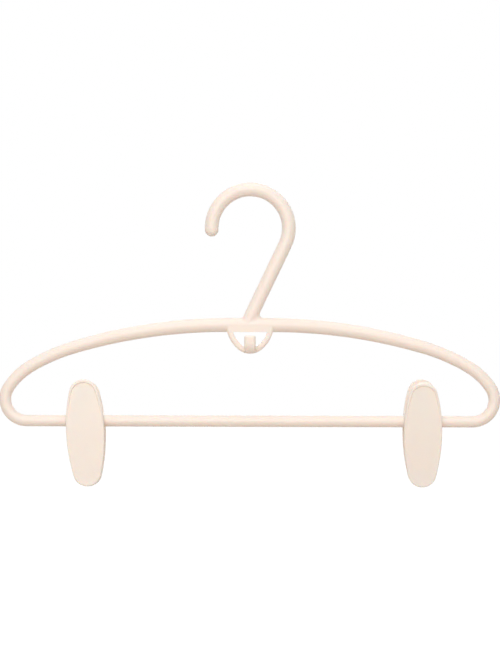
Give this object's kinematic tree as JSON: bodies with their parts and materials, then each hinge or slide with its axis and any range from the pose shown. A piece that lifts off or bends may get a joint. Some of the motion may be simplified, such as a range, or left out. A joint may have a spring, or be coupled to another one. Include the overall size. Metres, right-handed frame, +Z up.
{
  "type": "skirt hanger",
  "caption": "Arched plastic clothes hanger with a round hook, a centre loop with a peg, a straight lower bar and oval sprung clips that slide along the bar to grip a skirt waistband.",
  "frame": {"origin": "inner crown of the hook, where the rail bears", "axes": "+X along the bar to the right seen from the front, +Y to the back, +Z up"},
  "size_m": [0.3004, 0.0263, 0.1826],
  "materials": {
    "frame_plastic": "satin moulded",
    "jaw_plastic": "satin moulded",
    "sleeve_plastic": "satin moulded",
    "grip_rubber": "matte",
    "spring_steel": "bright strip"
  },
  "bodies": {
    "frame": {"hanger_frame": "frame_plastic"},
    "left_slider": {"left_clip_sleeve": "sleeve_plastic"},
    "left_core": {"left_clip_spring": "spring_steel"},
    "left_front": {"left_clip_front_jaw": "jaw_plastic", "left_clip_front_grip": "grip_rubber"},
    "left_rear": {"left_clip_rear_jaw": "jaw_plastic", "left_clip_rear_grip": "grip_rubber"},
    "right_slider": {"right_clip_sleeve": "sleeve_plastic"},
    "right_core": {"right_clip_spring": "spring_steel"},
    "right_front": {"right_clip_front_jaw": "jaw_plastic", "right_clip_front_grip": "grip_rubber"},
    "right_rear": {"right_clip_rear_jaw": "jaw_plastic", "right_clip_rear_grip": "grip_rubber"}
  },
  "joints": [
    {"name": "left_clip_slide", "type": "slide", "parent": "frame", "child": "left_slider", "axis": [1, 0, 0], "range_m": [-0.0225, 0.085]},
    {"name": "left_clip_swing", "type": "hinge", "parent": "left_slider", "child": "left_core", "pos_m": [-0.0985, 0, -0.1349], "axis": [0.9988, 0, 0.0488], "range_deg": [-146, 154]},
    {"name": "left_clip_open", "type": "hinge", "parent": "left_core", "child": "left_front", "pos_m": [-0.0985, 0, -0.1349], "axis": [-0.9988, 0, -0.0488], "range_deg": [0, 12], "stiffness_Nm_per_rad": 0.35, "springref_deg": -28.65, "deforming": ["left_clip_spring"]},
    {"name": "left_clip_open_rear", "type": "hinge", "parent": "left_core", "child": "left_rear", "pos_m": [-0.0985, 0, -0.1349], "axis": [0.9988, 0, 0.0488], "range_deg": [0, 12], "stiffness_Nm_per_rad": 0.35, "springref_deg": -28.65},
    {"name": "right_clip_slide", "type": "slide", "parent": "frame", "child": "right_slider", "axis": [1, 0, 0], "range_m": [-0.09, 0.0175]},
    {"name": "right_clip_swing", "type": "hinge", "parent": "right_slider", "child": "right_core", "pos_m": [0.1035, 0, -0.1349], "axis": [1, 0, 0], "range_deg": [-154, 146]},
    {"name": "right_clip_open", "type": "hinge", "parent": "right_core", "child": "right_front", "pos_m": [0.1035, 0, -0.1349], "axis": [-1, 0, 0], "range_deg": [0, 12], "stiffness_Nm_per_rad": 0.35, "springref_deg": -28.65, "deforming": ["right_clip_spring"]},
    {"name": "right_clip_open_rear", "type": "hinge", "parent": "right_core", "child": "right_rear", "pos_m": [0.1035, 0, -0.1349], "axis": [1, 0, 0], "range_deg": [0, 12], "stiffness_Nm_per_rad": 0.35, "springref_deg": -28.65}
  ],
  "couplings": [
    {"joint": "left_clip_open_rear", "follows": "left_clip_open", "ratio": 1},
    {"joint": "right_clip_open_rear", "follows": "right_clip_open", "ratio": 1}
  ]
}
